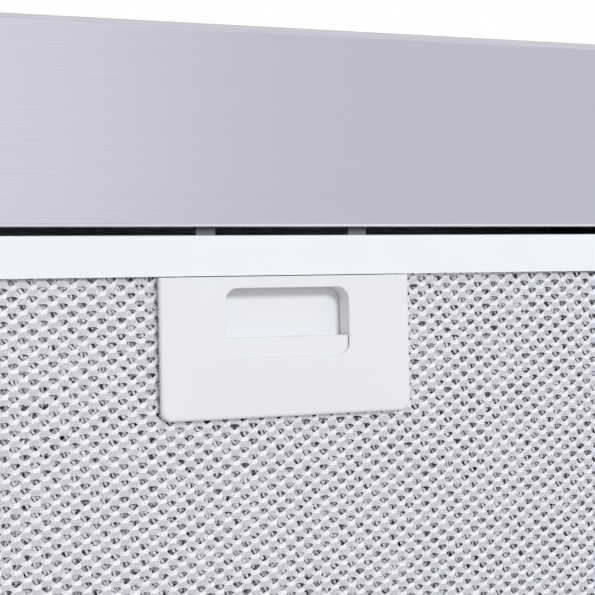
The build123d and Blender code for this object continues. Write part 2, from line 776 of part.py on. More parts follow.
def make_lamp_lens():
    """Right lens: a shallow dome that drops into the rim."""
    radius = lamp_hole_radius - fit_gap - lamp_wall - 0.1
    z = bottom_z - lamp_rim_thickness
    lens = upright(lamp_x, lamp_y, z, radius, lens_thickness)
    return fillet(lens.faces().sort_by(Axis.Z)[0].edges(), lens_dome)


def make_lamp_board():
    """Right LED board with its light sources, against the roof of the cup."""
    seat_z = bottom_z - lamp_rim_thickness + lens_thickness - 0.1
    roof_z = seat_z + lamp_cup_height - lamp_roof
    radius = lamp_hole_radius - fit_gap - 2.5 * lamp_wall - 0.1
    board = upright(lamp_x, lamp_y, roof_z - board_thickness, radius, board_thickness)
    for i in range(6):
        turn = math.radians(60 * i)
        x = lamp_x + radius * 0.55 * math.cos(turn)
        y = lamp_y + radius * 0.55 * math.sin(turn)
        low = roof_z - board_thickness - led_height
        reach = led_width / 2
        board += block(x - reach, x + reach, y - reach, y + reach, low, low + led_height)
    return board


# ---------------------------------------------------------------- controls
def button_x(index):
    return button_pitch * (index - (len(button_names) - 1) / 2)


def make_bezel():
    """Frame round the buttons, with short walls through the front face."""
    width, height = bezel_size()
    front = front_y - bezel_thickness
    bezel = block(-width / 2, width / 2, front, front_y, button_z - height / 2, button_z + height / 2)
    bezel = fillet(bezel.edges().filter_by(Axis.Y), 4.0)
    bezel = fillet(bezel.faces().sort_by(Axis.Y)[0].edges(), bezel_thickness * 0.6)
    hole_width, hole_height = bezel_hole_size()
    wide = hole_width / 2 - fit_gap
    high = hole_height / 2 - fit_gap
    bezel += block(-wide, wide, front_y, front_y + sheet + 2, button_z - high, button_z + high)
    bezel -= block(-wide + bezel_wall, wide - bezel_wall, front_y + 1, front_y + sheet + 3,
                   button_z - high + bezel_wall, button_z + high - bezel_wall)
    for index in range(len(button_names)):
        hole = Rectangle(button_width + 2 * button_gap, button_height + 2 * button_gap)
        hole = fillet(hole.vertices(), button_corner + button_gap)
        place = Plane(origin=(button_x(index), front - 1, button_z), x_dir=(1, 0, 0), z_dir=(0, 1, 0))
        bezel -= extrude(place * hole, bezel_thickness + 3)
    return bezel


def make_switch_box():
    """Switch body behind the bezel, with a guide hole for each plunger."""
    hole_width, hole_height = bezel_hole_size()
    wide = hole_width / 2 + switch_box_margin
    high = hole_height / 2 + switch_box_margin
    y0 = front_y + sheet
    rear_y = y0 + switch_box_depth
    body = block(-wide, wide, y0, rear_y, button_z - high, button_z + high)
    body = fillet(body.edges().filter_by(Axis.Y), 2.0)
    room = hole_width / 2 + fit_gap
    room_high = hole_height / 2 + fit_gap
    body -= block(-room, room, y0 - 1, y0 + 10, button_z - room_high, button_z + room_high)
    for index in range(len(button_names)):
        x = button_x(index)
        body -= block(x - 3.2, x + 3.2, y0 + 9, rear_y - 3, button_z - 3.2, button_z + 3.2)
    for index in range(3):
        x = (index - 1) * wide * 0.6
        body += block(x - 3, x + 3, rear_y, rear_y + 5, button_z - 0.4, button_z + 0.4)
    return body


def make_button(index):
    """Push button: a rounded cap with bevelled edges, and its square plunger."""
    x = button_x(index)
    place = Plane(origin=(x, front_y - bezel_thickness - button_proud, button_z), x_dir=(1, 0, 0),
                  z_dir=(0, 1, 0))
    face = Rectangle(button_width, button_height)
    face = fillet(face.vertices(), button_corner)
    cap = extrude(place * face, button_proud + bezel_thickness + 1.0)
    cap = chamfer(cap.faces().sort_by(Axis.Y)[0].edges(), 0.6)
    y0 = front_y + 1.0
    stem = block(x - 3, x + 3, y0, front_y + sheet + switch_box_depth - 4 - button_travel, button_z - 3,
                 button_z + 3)
    return cap + stem


# ---------------------------------------------------------------- wiring parts
def make_junction_box():
    """Open-bottomed steel box under the top panel, with two turned-in screw lugs."""
    x, y = box_centre()
    top = -sheet
    low = top - box_height
    outer = block(x - box_width / 2, x + box_width / 2, y - box_depth / 2, y + box_depth / 2, low, top)
    outer = fillet(outer.edges().filter_by(Axis.Z), 3.0)
    inner = block(x - box_width / 2 + sheet, x + box_width / 2 - sheet, y - box_depth / 2 + sheet,
                  y + box_depth / 2 - sheet, low - 1, top - sheet)
    body = outer - inner
    for side in (-1, 1):
        edge = x + side * (box_width / 2 - sheet)
        inner_edge = x + side * (box_width / 2 - lug_depth)
        body += block(min(edge, inner_edge), max(edge, inner_edge), y - lug_width / 2, y + lug_width / 2,
                      low, low + 2 * sheet)
    body -= upright(x, y, top - 2 * sheet, gland_radius + fit_gap, 3 * sheet)
    return body - screw_holes(box_screw_places(), low - 1, low + 3 * sheet)


def make_junction_cover():
    """Plate over the junction box's open bottom."""
    x, y = box_centre()
    low = -sheet - box_height
    cover = rounded_block(box_width, box_depth, 3.0, x, y, low - sheet, low)
    return cover - screw_holes(box_screw_places(), low - 2 * sheet, low + 1)


def make_terminal_block():
    """Three-way terminal block on the inside of the box's roof."""
    x, y = box_centre()
    wide, deep, high = terminal_size
    y += box_depth / 2 - sheet - deep / 2
    top = -2 * sheet
    body = block(x - wide / 2, x + wide / 2, y - deep / 2, y + deep / 2, top - high, top)
    for i in range(3):
        cx = x + (i - 1) * wide / 3
        body -= upright(cx, y, top - high - 1, 3.0, 4.0)
    return body


def make_cable_gland():
    """Gland in the junction box's roof, with its flange inside the top panel's larger hole."""
    x, y = box_centre()
    low = -2 * sheet - gland_length / 2
    body = upright(x, y, low, gland_radius, gland_length)
    body += upright(x, y, -sheet, gland_flange_radius, gland_flange)
    nut = extrude(Pos(x, y, -2 * sheet - 4) * RegularPolygon(gland_flange_radius, 6), 4)
    crown = body.faces().sort_by(Axis.Z)[-1].edges()
    body = fillet(crown, 1.5)
    return body + nut - upright(x, y, low - 1, gland_bore_radius, gland_length + gland_flange + 2)


def capacitor_centre():
    """Capacitor axis, as (y, z), hung close under the top panel."""
    return axis_y, -sheet - clip_sheet - capacitor_radius - capacitor_drop


def clip_screw_places():
    y = capacitor_centre()[0] + capacitor_radius + clip_sheet + clip_screw_from_can
    return [(capacitor_x, y)]


def make_capacitor():
    """Run capacitor: a can with two terminals."""
    y, z = capacitor_centre()
    half = capacitor_length / 2
    can = along_x(capacitor_x - half, capacitor_x + half, y, z, capacitor_radius)
    can = fillet(can.edges().filter_by(GeomType.CIRCLE), 2.0)
    end = capacitor_x + half
    for side in (-1, 1):
        middle = y + side * terminal_width
        can += block(end - 0.5, end + terminal_length, middle - terminal_width / 2,
                     middle + terminal_width / 2, z - terminal_thickness / 2, z + terminal_thickness / 2)
    return can


def make_capacitor_clip():
    """Strap round the capacitor with a foot on the top panel."""
    y, z = capacitor_centre()
    top = -sheet
    outer = capacitor_radius + clip_sheet
    profile = Pos(y, z) * Circle(outer)
    foot = clip_foot + capacitor_radius
    profile += Pos(y + foot / 2 + clip_sheet, top - clip_sheet / 2) * Rectangle(foot, clip_sheet)
    profile += Pos(y, (top + z) / 2) * Rectangle(4, top - z)
    profile += Pos(y + 1, top - clip_sheet / 2) * Rectangle(6, clip_sheet)
    profile -= Pos(y, z) * Circle(capacitor_radius + strap_clearance)
    clip = side_extrude(profile, capacitor_x - clip_width / 2, capacitor_x + clip_width / 2)
    return clip - screw_holes(clip_screw_places(), top - 3 * clip_sheet, top + 1)


def screw_group(screws):
    return Compound(children=[screw.solid() for screw in screws])


# ---------------------------------------------------------------- all nodes
def make_nodes():
    nodes = {
        "front_panel": make_front_panel(),
        "top_panel": make_top_panel(),
        "back_panel": make_back_panel(),
        "rear_pan": make_rear_pan(),
        "centre_bar": make_centre_bar(),
        "duct_collar": make_duct_collar(),
        "damper_flap": make_damper_flap(),
        "motor": make_motor(),
        "motor_shaft": make_shaft(),
        "motor_bracket": make_bracket(),
        "button_bezel": make_bezel(),
        "switch_box": make_switch_box(),
        "junction_box": make_junction_box(),
        "junction_cover": make_junction_cover(),
        "terminal_block": make_terminal_block(),
        "cable_gland": make_cable_gland(),
        "capacitor": make_capacitor(),
        "capacitor_clip": make_capacitor_clip(),
    }
    for index, name in enumerate(button_names):
        nodes["button_" + name] = make_button(index)
    pack_low = frame_sheet
    pack_high = filter_height - frame_sheet
    face_top = pack_low + face_mesh_thickness
    back_low = pack_high - back_mesh_thickness
    pairs = {
        "side_panel": make_side_panel(),
        "filter_frame": make_filter_frame(),
        "face_mesh": mesh_layer(pack_low, face_top),
        "core_mesh": mesh_layer(face_top, back_low),
        "back_mesh": mesh_layer(back_low, pack_high),
        "latch_plate": make_latch_plate(),
        "latch_cover": make_latch_cover(),
        "latch_slider": make_latch_slider(),
        "latch_spring": make_latch_spring(),
        "blower_casing": make_casing(),
        "blower_wheel": make_wheel(),
        "lamp_bezel": make_lamp_bezel(),
        "lamp_lens": make_lamp_lens(),
        "lamp_board": make_lamp_board(),
    }
    for name, right in pairs.items():
        nodes[name + "_right"] = right
        nodes[name + "_left"] = mirrored(right)
    flush = deck_z - screw_gap
    cover_low = -2 * sheet - box_height
    nodes["bracket_screws"] = screw_group(
        hanging_screw(x, y, deck_under_z - bracket_sheet, flush) for x, y in bracket_screw_places())
    nodes["casing_screws"] = screw_group(
        hanging_screw(x, y, deck_under_z - 2 * casing_wall, flush) for x, y in casing_screw_places())
    nodes["clip_screw"] = screw_group(
        hanging_screw(x, y, -sheet - clip_sheet, -screw_gap) for x, y in clip_screw_places())
    nodes["box_screws"] = screw_group(
        hanging_screw(x, y, cover_low, cover_low + screw_length) for x, y in box_screw_places())
    nodes["collar_screws"] = screw_group(
        standing_screw(x, y, deck_z + sheet, deck_z + sheet - screw_length) for x, y in collar_screw_places())
    return nodes


os.makedirs("parts", exist_ok=True)
for node_name, node in make_nodes().items():
    export_step(node, "parts/" + node_name + ".step")
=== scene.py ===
import math
import bpy
import numpy as np
from mathutils import Matrix, Vector
from mathutils.geometry import delaunay_2d_cdt


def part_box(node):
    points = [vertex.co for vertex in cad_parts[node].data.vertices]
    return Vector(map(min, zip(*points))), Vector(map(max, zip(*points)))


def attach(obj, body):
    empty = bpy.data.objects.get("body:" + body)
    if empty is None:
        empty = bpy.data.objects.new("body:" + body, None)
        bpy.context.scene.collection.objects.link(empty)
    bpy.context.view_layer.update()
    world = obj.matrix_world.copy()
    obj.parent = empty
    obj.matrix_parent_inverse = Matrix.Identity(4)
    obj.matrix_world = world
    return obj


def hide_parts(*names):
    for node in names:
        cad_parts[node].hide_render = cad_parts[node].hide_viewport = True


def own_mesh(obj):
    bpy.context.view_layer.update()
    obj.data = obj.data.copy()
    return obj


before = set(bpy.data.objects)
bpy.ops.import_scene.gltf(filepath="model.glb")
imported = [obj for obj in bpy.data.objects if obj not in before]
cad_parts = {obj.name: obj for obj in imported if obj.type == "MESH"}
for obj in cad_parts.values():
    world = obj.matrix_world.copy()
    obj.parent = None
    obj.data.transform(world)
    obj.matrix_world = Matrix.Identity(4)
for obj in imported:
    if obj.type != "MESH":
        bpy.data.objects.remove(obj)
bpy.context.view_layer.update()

SIDES = ("left", "right")
MM = 0.001

# ---- camera: below the right filter's latch, looking up ---------------------------------------
LENS = 91.36
SENSOR = 36.0
CAMERA_FROM_LATCH = Vector((-0.1496, 0.0073, -0.3664))
CAMERA_YAW = 22.59
CAMERA_PITCH = -0.23
CAMERA_ROLL = -1.26

# ---- light ------------------------------------------------------------------------------------
WHITE = (1.0, 1.0, 1.0)
WORLD_LEVEL = 0.49
WORLD_COLOR = (1.0, 0.995, 0.965)
FLOOR_Z = -1.8
FLOOR_COLOR = (0.90, 0.90, 0.90)
FLOOR_PALE = 0.70           # share of plain white that the camera sees in the floor
FLOOR_TINT = (0.936, 0.935, 1.0)
FLOOR_FADE = (3.0, 9.0)     # from here to here, out from the hood, it fades to the world's white
FLOOR_HALF_SIZE = 30.0
KEY_DIRECTION = Vector((0.12, -0.34, -0.93))
KEY_DISTANCE = 1.2
KEY_SIZE = 0.25
KEY_POWER = 7.4
KEY_COLOR = (0.90, 0.92, 1.0)
OVERHEAD_PLACE = Vector((-0.6, -0.8, 1.6))
OVERHEAD_TARGET = Vector((0.0, -0.1, 0.0))
OVERHEAD_SIZE = 1.2
OVERHEAD_POWER = 18.0
SOFTBOX_FROM_LATCH = Vector((-0.12, -0.20, -1.15))
SOFTBOX_SIZE = 0.9
SOFTBOX_LEVEL = 0.30

# ---- finishes, in metres and shares -----------------------------------------------------------
PLASTIC = (0.855, 0.86, 0.875)
STEEL = (0.575, 0.572, 0.616)
GRAIN_ACROSS = 2200.0       # brushed grain, in waves per metre
GRAIN_LENGTHWISE = 9.0
STRIP_DEPTH = 0.0527
# painted shade and highlights on the bottom strip, from its outer corner to its hem: share of the depth,
# level (0.5 is plain; lower is painted shade at the outer corner, higher is a painted highlight on the
# bend and the hem)
FOLD_SHADE_AND_HIGHLIGHT = ((0.006, 0.1), (0.013, 0.85), (0.036, 0.85), (0.050, 0.5), (0.980, 0.5), (0.988, 1.0))
FOLD_LIGHT_GAIN = ((0.0, 0.80), (0.9, 1.17), (1.0, 1.5))     # level, times the steel's colour, for the painted shade and highlights
FOLD_HEIGHT = (0.002, 0.003)    # over this height the painted shade and highlights fade out
# painted shade on the slider's tongues, where they lie in the dark slot: dark at the tip, then grey, then
# the plastic's own colour
TONGUE_SHOWN = 0.006        # from a tongue's tip back to where the rail covers it
TONGUE_TIP_SHADE = (0.03, 0.03, 0.04)
TONGUE_HALF_SHADE = (0.168, 0.170, 0.194)
TONGUE_SHADE_DARK_TO = 0.56       # shares of the length shown: painted shade dark to here, and grey painted shade between these
TONGUE_HALF_SHADE_BETWEEN = (0.80, 0.92)
MOULD_GRAIN = 2500.0        # pebbled texture of the mouldings, in waves per metre, and its height
MOULD_HEIGHT = 0.00001
MESH_CLOUD = 1500.0         # mottling of the bare mesh, in waves per metre, and its share of the ramp from dull to painted highlight
MESH_CLOUD_TONE = 0.42

# ---- expanded mesh, in mm ---------------------------------------------------------------------
STEP_P = (2.491, 2.017)
STEP_Q = (-2.510, 2.082)
HOLE_FROM_LATCH = (0.454, -2.327)
# one cell: the points round its hole, then its bond; right, rearward, height above the underside
HOLE_EDGE = (
    (-1.40, -0.22, 1.88), (-1.04, -0.58, 1.96), (-0.15, -0.70, 2.00), (0.87, -0.64, 1.98),
    (1.46, -0.25, 1.90), (0.82, 0.38, 2.02), (0.16, 0.86, 2.12), (-0.36, 0.88, 2.12),
    (-0.92, 0.30, 2.02),
)
BOND = ((-0.70, 1.10, 2.06), (1.30, 0.94, 2.08), (-0.60, 2.02, 1.84))
# numbers of a cell's points, counted through HOLE_EDGE and then BOND
HOLE_REAR = 6
HOLE_REAR_HALF = {4, 5, 6, 7, 8}
BOND_POINTS = {9, 10, 11}
PRESSED_POINTS = {0, 10, 11}
BOND_PAINTED_HIGHLIGHT = 0.9             # painted highlight on the pressed bonds, and on the strands beside a hole
SLANT_PAINTED_HIGHLIGHT = 0.40
MESH_JITTER = 0.035
SMALLEST_FACE = 0.01        # twice the area of the smallest triangle kept at a border
NOTCH_MARGIN = 1.2
# layer of open mesh: its size against the face mesh, its height above it, seed of its jitter
EXPANDED_LAYERS = {"face": (1.0, 0.0, 11), "back": (2.0, 6.5, 51)}

# ---- inner mesh, in mm and degrees ------------------------------------------------------------
STRAND_LAYERS = ((2.55, 62.0), (3.3, -58.0), (4.8, 55.0))
STRAND_PITCH = 1.15
STRAND_WIDTH = 0.62
STRAND_STEP = 2.6
STRAND_EDGE = 2.0           # strands start this far inside the mesh's edge and outside the notch
STRAND_SCATTER = (0.3, 0.5)                 # across and along
STRAND_TURN = 9.0
STRAND_LENGTH_SHARES = (0.50, 0.68)         # half its length, in steps
STRAND_WIDTH_SHARES = (0.8, 1.15)
STRAND_LIFT = 0.12
STRAND_LEAN = 0.16
STRAND_CLIMB = 0.10
STRAND_TONES = (-0.1, 0.7)
STRAND_SEED = 31

# ---- latch spring, in mm ----------------------------------------------------------------------
SPRING_TURNS = 5.0
SPRING_WIRE = 0.30
SPRING_POINTS = 150
SPRING_FLAT = 0.08          # share of the wire in each flat end turn


# ================================================================================== materials
class Finish:
    """A Principled material under construction, with its object coordinates to hand."""

    def __init__(self, name, color, metallic=0.0, roughness=0.5):
        self.material = bpy.data.materials.new(name)
        self.material.use_nodes = True
        self.tree = self.material.node_tree
        self.shader = self.tree.nodes["Principled BSDF"]
        self.color = color
        self.shader.inputs["Base Color"].default_value = (*color, 1.0)
        self.shader.inputs["Metallic"].default_value = metallic
        self.shader.inputs["Roughness"].default_value = roughness
        self.place = self.tree.nodes.new("ShaderNodeTexCoord").outputs["Object"]

    def noise(self, stretch, detail=3.0, rough=0.55):
        """Noise with so many waves per metre along each axis."""
        mapping = self.tree.nodes.new("ShaderNodeMapping")
        mapping.inputs["Scale"].default_value = stretch
        self.tree.links.new(self.place, mapping.inputs["Vector"])
        noise = self.tree.nodes.new("ShaderNodeTexNoise")
        noise.inputs["Scale"].default_value = 1.0
        noise.inputs["Detail"].default_value = detail
        noise.inputs["Roughness"].default_value = rough
        self.tree.links.new(mapping.outputs["Vector"], noise.inputs["Vector"])
        return noise.outputs["Fac"]

    def spread(self, value, low, high, start=0.3, end=0.7):
        """Low at start, high at end; most of a noise lies between the defaults."""
        ramp = self.tree.nodes.new("ShaderNodeMapRange")
        ramp.inputs["From Min"].default_value = start
        ramp.inputs["From Max"].default_value = end
        ramp.inputs["To Min"].default_value = low
        ramp.inputs["To Max"].default_value = high
        self.tree.links.new(value, ramp.inputs["Value"])
        return ramp.outputs["Result"]

    def shade(self, value, low, high):
        """Colour that varies from low to high times the finish's own."""
        ramp = self.tree.nodes.new("ShaderNodeValToRGB")
        ramp.color_ramp.elements[0].position = 0.3
        ramp.color_ramp.elements[1].position = 0.7
        ramp.color_ramp.elements[0].color = (*(c * low for c in self.color), 1.0)
        ramp.color_ramp.elements[1].color = (*(c * high for c in self.color), 1.0)
        self.tree.links.new(value, ramp.inputs["Fac"])
        self.tree.links.new(ramp.outputs["Color"], self.shader.inputs["Base Color"])
        return ramp

    def roughness(self, value, low, high):
        self.tree.links.new(self.spread(value, low, high), self.shader.inputs["Roughness"])

    def bump(self, value, height, strength=1.0):
        node = self.tree.nodes.new("ShaderNodeBump")
        node.inputs["Strength"].default_value = strength
        node.inputs["Distance"].default_value = height
        self.tree.links.new(value, node.inputs["Height"])
        self.tree.links.new(node.outputs["Normal"], self.shader.inputs["Normal"])


def brushed(name, color, along, low=0.24, high=0.32, edges=None):
    """Brushed sheet: fine grain along one axis. Painted shade and highlights along the folds at its edges
    are given by paint_fold_shade_and_highlights.
    """
    grain = [GRAIN_ACROSS] * 3
    grain[along] = GRAIN_LENGTHWISE
    finish = Finish(name, color, metallic=1.0)
    fine = finish.noise(grain, detail=2.0)
    finish.roughness(fine, low, high)
    ramp = finish.shade(fine, 0.992, 1.007)
    if edges is not None:
        paint_fold_shade_and_highlights(finish, finish.spread(fine, 0.42, 0.58), ramp, *edges)
    finish.bump(fine, 0.000004, 0.25)
    return finish.material


def paint_fold_shade_and_highlights(finish, grain, ramp, front, hem, bottom):
    """Along the bottom strip: painted shade at the outer corner, a painted highlight on the bend and a
    brighter painted highlight on the hem.
    """
    tree = finish.tree
    place = tree.nodes.new("ShaderNodeSeparateXYZ")
    tree.links.new(finish.place, place.inputs[0])
    across = tree.nodes.new("ShaderNodeValToRGB")
    stops = across.color_ramp.elements
    stops[0].position = 0.0
    stops[0].color = (0.0, 0.0, 0.0, 1.0)
    stops[1].position = 1.0
    stops[1].color = (1.0, 1.0, 1.0, 1.0)
    for share, level in FOLD_SHADE_AND_HIGHLIGHT:
        stops.new(share).color = (level, level, level, 1.0)
    tree.links.new(finish.spread(place.outputs["Y"], 0.0, 1.0, front, hem), across.inputs["Fac"])
    band = tree.nodes.new("ShaderNodeMath")
    band.operation = "SUBTRACT"
    band.inputs[1].default_value = 0.5
    tree.links.new(across.outputs["Color"], band.inputs[0])
    near = tree.nodes.new("ShaderNodeMath")
    near.operation = "MULTIPLY_ADD"
    tree.links.new(band.outputs[0], near.inputs[0])
    fold = finish.spread(place.outputs["Z"], 1.0, 0.0, bottom + FOLD_HEIGHT[0], bottom + FOLD_HEIGHT[1])
    tree.links.new(fold, near.inputs[1])
    tree.links.new(grain, near.inputs[2])
    tree.links.new(near.outputs[0], ramp.inputs["Fac"])
    for share, gain in FOLD_LIGHT_GAIN:
        ramp.color_ramp.elements.new(share).color = (*(c * gain for c in finish.color), 1.0)


def moulded(name, color, roughness):
    """Moulded plastic: even colour with a faint cloud, and a fine texture."""
    finish = Finish(name, color)
    cloud = finish.noise((40.0,) * 3)
    finish.shade(cloud, 0.985, 1.01)
    finish.roughness(cloud, roughness - 0.04, roughness + 0.04)
    finish.bump(finish.noise((MOULD_GRAIN,) * 3, detail=2.0), MOULD_HEIGHT, 0.4)
    return finish.material


def slider_with_painted_shade(name, color, shade_dark, shade_grey, node):
    """The slider's moulding, with painted shade that darkens its tongues towards their tips, where they
    lie in the slot.
    """
    finish = Finish(name, color, roughness=0.42)
    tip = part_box(node)[0].y
    place = finish.tree.nodes.new("ShaderNodeSeparateXYZ")
    finish.tree.links.new(finish.place, place.inputs[0])
    along = finish.spread(place.outputs["Y"], 0.0, 1.0, tip, tip + TONGUE_SHOWN)
    ramp = finish.tree.nodes.new("ShaderNodeValToRGB")
    ramp.color_ramp.elements[0].position = TONGUE_SHADE_DARK_TO
    ramp.color_ramp.elements[0].color = (*shade_dark, 1.0)
    ramp.color_ramp.elements[1].position = 1.0
    ramp.color_ramp.elements[1].color = (*color, 1.0)
    for share in TONGUE_HALF_SHADE_BETWEEN:
        ramp.color_ramp.elements.new(share).color = (*shade_grey, 1.0)
    finish.tree.links.new(along, ramp.inputs["Fac"])
    finish.tree.links.new(ramp.outputs["Color"], finish.shader.inputs["Base Color"])
    finish.bump(finish.noise((MOULD_GRAIN,) * 3, detail=2.0), MOULD_HEIGHT, 0.4)
    return finish.material


def coated(name, color, roughness):
    """Powder coat: slight orange peel."""
    finish = Finish(name, color)
    peel = finish.noise((700.0,) * 3, detail=1.0)
    finish.shade(finish.noise((30.0,) * 3), 0.985, 1.01)
    finish.roughness(peel, roughness - 0.05, roughness + 0.05)
    finish.bump(peel, 0.00002, 0.4)
    return finish.material


def plated(name, color, roughness, grain=180.0, depth=0.08):
    """Plated or bare metal: cloudy tone and a little unevenness."""
    finish = Finish(name, color, metallic=1.0)
    cloud = finish.noise((grain,) * 3, detail=4.0)
    finish.shade(cloud, 1.0 - depth, 1.0 + depth)
    finish.roughness(cloud, roughness - 0.08, roughness + 0.08)
    finish.bump(cloud, 0.00002, 0.3)
    return finish.material


def expanded(name, color, highlight_color):
    """Bare aluminium mesh: dull strands, with painted highlights on the pressed bonds and beside the
    holes, and random tone on the inner strands.
    """
    finish = Finish(name, color, metallic=0.40, roughness=0.45)
    tree = finish.tree
    highlight_and_tone = tree.nodes.new("ShaderNodeAttribute")
    highlight_and_tone.attribute_name = "highlight_and_tone"
    cloud = finish.noise((MESH_CLOUD,) * 3, detail=3.0)
    add = tree.nodes.new("ShaderNodeMath")
    add.operation = "ADD"
    tree.links.new(highlight_and_tone.outputs["Fac"], add.inputs[0])
    tree.links.new(finish.spread(cloud, -MESH_CLOUD_TONE, MESH_CLOUD_TONE), add.inputs[1])
    ramp = tree.nodes.new("ShaderNodeValToRGB")
    ramp.color_ramp.elements[0].color = (*color, 1.0)
    ramp.color_ramp.elements[1].color = (*highlight_color, 1.0)
    tree.links.new(add.outputs[0], ramp.inputs["Fac"])
    tree.links.new(ramp.outputs["Color"], finish.shader.inputs["Base Color"])
    finish.roughness(cloud, 0.36, 0.48)
    finish.bump(finish.noise((3000.0,) * 3, detail=1.0), 0.00001, 0.4)
    return finish.material


def frosted(name, color):
    """Frosted lens plastic that lets a little light through."""
    finish = Finish(name, color, roughness=0.45)
    finish.shader.inputs["Transmission Weight"].default_value = 0.12
    finish.shader.inputs["IOR"].default_value = 1.49
    frost = finish.noise((1200.0,) * 3, detail=2.0)
    finish.roughness(frost, 0.38, 0.55)
    finish.bump(frost, 0.00003, 0.5)
    return finish.material


FINISHES = {
    "steel_brushed": brushed("brushed_steel_x", STEEL, along=0),
    "steel_plated": plated("galvanised", (0.58, 0.59, 0.60), 0.42, grain=90.0),
    "white_coat": coated("white_powder_coat", (0.92, 0.93, 0.97), 0.38),
    "mesh_aluminium": expanded("mesh_aluminium", (0.638, 0.638, 0.685), (0.96, 0.96, 0.99)),
    "white_plastic": moulded("white_plastic", PLASTIC, 0.42),
    "dark_plastic": moulded("dark_plastic", (0.045, 0.045, 0.05), 0.48),
    "button_plastic": moulded("silver_button", (0.50, 0.50, 0.52), 0.34),
    "motor_paint": coated("black_enamel", (0.05, 0.05, 0.055), 0.40),
    "shaft_steel": plated("ground_steel", (0.55, 0.55, 0.56), 0.22),
    "screw_steel": plated("zinc_screw", (0.62, 0.62, 0.60), 0.32, grain=700.0),
    "lens_plastic": frosted("frosted_lens", (0.93, 0.93, 0.91)),
    "lamp_board": coated("lamp_board", (0.82, 0.83, 0.78), 0.45),
    "spring_steel": plated("spring_wire", (0.42, 0.42, 0.43), 0.30),
    "gland_nylon": moulded("gland_nylon", (0.10, 0.10, 0.105), 0.45),
    "capacitor_can": plated("capacitor_can", (0.70, 0.70, 0.71), 0.30),
    "casing_plated": plated("casing_zinc", (0.60, 0.61, 0.62), 0.40, grain=60.0, depth=0.14),
}
GRAIN_ALONG_Y = brushed("brushed_steel_y", STEEL, along=1)


def dress_nodes():
    """Give each CAD node the finish of its slot, and a few of them one of their own."""
    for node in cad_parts.values():
        for slot in node.material_slots:
            slot.material = FINISHES[slot.material.name]
    for side in SIDES:
        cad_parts[f"side_panel_{side}"].material_slots[0].material = GRAIN_ALONG_Y
        slider = f"latch_slider_{side}"
        # the slider's tongues get painted shade towards their tips
        finish = slider_with_painted_shade(f"slider_plastic_painted_shade_{side}", PLASTIC, TONGUE_TIP_SHADE, TONGUE_HALF_SHADE, slider)
        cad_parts[slider].material_slots[0].material = finish
    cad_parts["centre_bar"].material_slots[0].material = GRAIN_ALONG_Y
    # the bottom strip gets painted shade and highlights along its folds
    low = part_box("front_panel")[0]
    edges = (low.y, low.y + STRIP_DEPTH, low.z)
    front = brushed("brushed_steel_strip_painted_light", STEEL, along=0, edges=edges)
    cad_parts["front_panel"].material_slots[0].material = front


# ============================================================================== expanded mesh
def cell_triangles(points, hole_count, steps):
    """Triangles of one repeating cell, each corner as (p step, q step, point)."""
    reach = range(-2, 3)
    corners = [(a, b, k) for a in reach for b in reach for k in range(len(points))]
    flat = [
        Vector((a * steps[0][0] + b * steps[1][0] + points[k][0],
                a * steps[0][1] + b * steps[1][1] + points[k][1]))
        for a, b, k in corners
    ]
    number = {corner: i for i, corner in enumerate(corners)}
    edges = [
        (number[a, b, k], number[a, b, (k + 1) % hole_count])
        for a in reach for b in reach for k in range(hole_count)
    ]
    faces = delaunay_2d_cdt(flat, edges, [], 0, 1e-6)[2]
    found = set()
    for face in faces:
        tri = [corners[i] for i in face]
        if max(abs(c) for corner in tri for c in corner[:2]) > 1:
            continue
        if len({corner[:2] for corner in tri}) == 1 and all(corner[2] < hole_count for corner in tri):
            continue
        low_a = min(corner[0] for corner in tri)
        low_b = min(corner[1] for corner in tri)
        moved = [(a - low_a, b - low_b, k) for a, b, k in tri]
        first = moved.index(min(moved))
        found.add(tuple(moved[first:] + moved[:first]))
    return sorted(found)


def lattice_mesh(points, triangles, steps, origin, low, high, notch, jitter, seed):
    """Repeat the cell over a rectangle, in metres; borders are trimmed straight."""
    span = max(high[0] - low[0], high[1] - low[1]) / min(steps[0][1], steps[1][1])
    grid = np.arange(-int(span), int(span) + 1)
    a, b = (g.ravel() for g in np.meshgrid(grid, grid, indexing="ij"))
    x = origin[0] + a * steps[0][0] + b * steps[1][0]
    y = origin[1] + a * steps[0][1] + b * steps[1][1]
    margin = 2 * steps[0][0]
    keep = (x > low[0] - margin) & (x < high[0] + margin) & (y > low[1] - margin) & (y < high[1] + margin)
    a, b, x, y = a[keep], b[keep], x[keep], y[keep]
    # number of each kept cell by its steps; negative steps count back from the table's end
    index = np.full((2 * len(grid), 2 * len(grid)), -1)
    index[a, b] = np.arange(len(a))
    shape = np.array(points)
    place = np.stack([x, y, np.zeros_like(x)], axis=1)[:, None, :] + shape[None]
    place += np.random.default_rng(seed).normal(0.0, jitter, place.shape)
    faces = []
    painted_highlight_and_tone = []
    for tri in triangles:
        picked = [index[a + da, b + db] * len(shape) + k for da, db, k in tri]
        whole = np.all([index[a + da, b + db] >= 0 for da, db, k in tri], axis=0)
        faces.append(np.stack(picked, axis=1)[whole])
        painted_highlight_and_tone.append(np.full(np.count_nonzero(whole), face_painted_highlight(tri)))
    faces = np.concatenate(faces)
    painted_highlight_and_tone = np.concatenate(painted_highlight_and_tone)
    place = place.reshape(-1, 3)
    place[:, 0] = np.clip(place[:, 0], low[0], high[0])
    place[:, 1] = np.clip(place[:, 1], low[1], high[1])
    place[:, 2] = np.clip(place[:, 2], low[2], high[2])
    side_a = place[faces[:, 1]] - place[faces[:, 0]]
    side_b = place[faces[:, 2]] - place[faces[:, 0]]
    real = np.abs(np.cross(side_a[:, :2], side_b[:, :2])) > SMALLEST_FACE
    middle = place[faces].mean(axis=1)
    cut = (middle[:, 0] > notch[0]) & (middle[:, 0] < notch[1]) & (middle[:, 1] < notch[2])
    return place * MM, faces[real & ~cut], painted_highlight_and_tone[real & ~cut]


